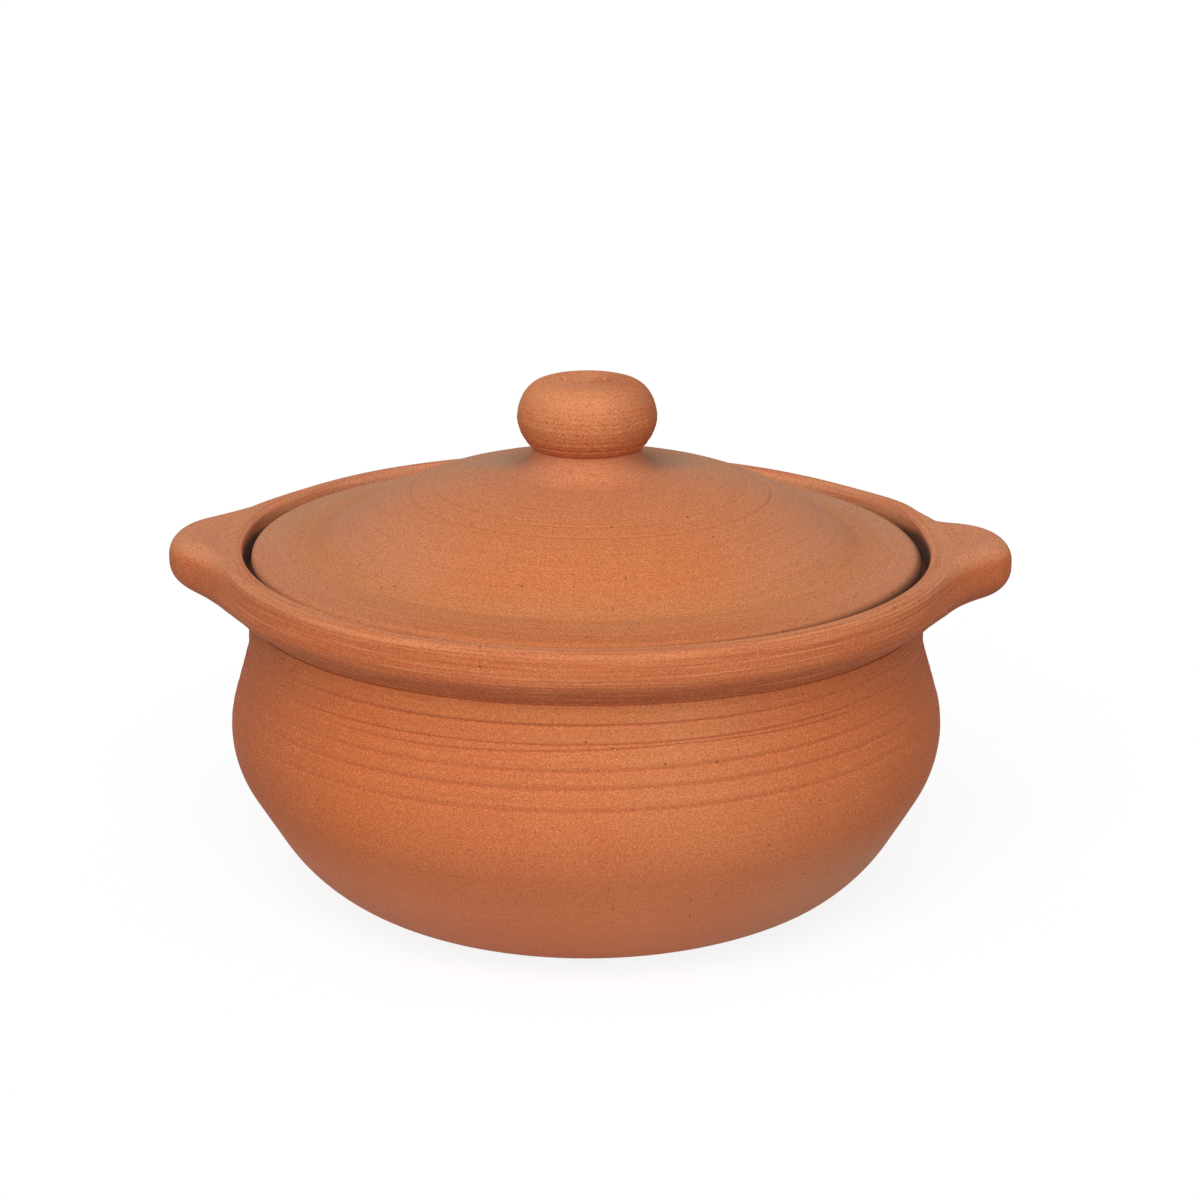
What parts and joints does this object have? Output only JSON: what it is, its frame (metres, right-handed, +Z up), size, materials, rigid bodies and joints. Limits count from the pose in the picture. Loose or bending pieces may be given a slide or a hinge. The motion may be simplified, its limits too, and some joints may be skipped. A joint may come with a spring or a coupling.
{
  "type": "lidded cooking pot",
  "caption": "Wide unglazed earthenware cooking pot with a round belly, an overhanging collar rim, side lugs and a lift-off domed lid with a ball knob.",
  "frame": {"origin": "centre of the flat base, on the surface the pot stands on", "axes": "+Z up along the axis the pot was thrown on, +X towards the right lug"},
  "size_m": [0.29, 0.249, 0.1825],
  "materials": {
    "pot_clay": "unglazed red earthenware, matt, fine sandy grain with throwing lines",
    "lid_clay": "unglazed red earthenware, matt, fine sandy grain with turning lines"
  },
  "bodies": {
    "pot": {"pot_body": "pot_clay", "left_lug": "pot_clay", "right_lug": "pot_clay"},
    "lid": {"lid": "lid_clay", "lid_knob": "lid_clay"}
  },
  "joints": [
    {"name": "lid_lift", "type": "slide", "parent": "pot", "child": "lid", "axis": [0, 0, 1], "range_m": [0, 0.15]}
  ]
}
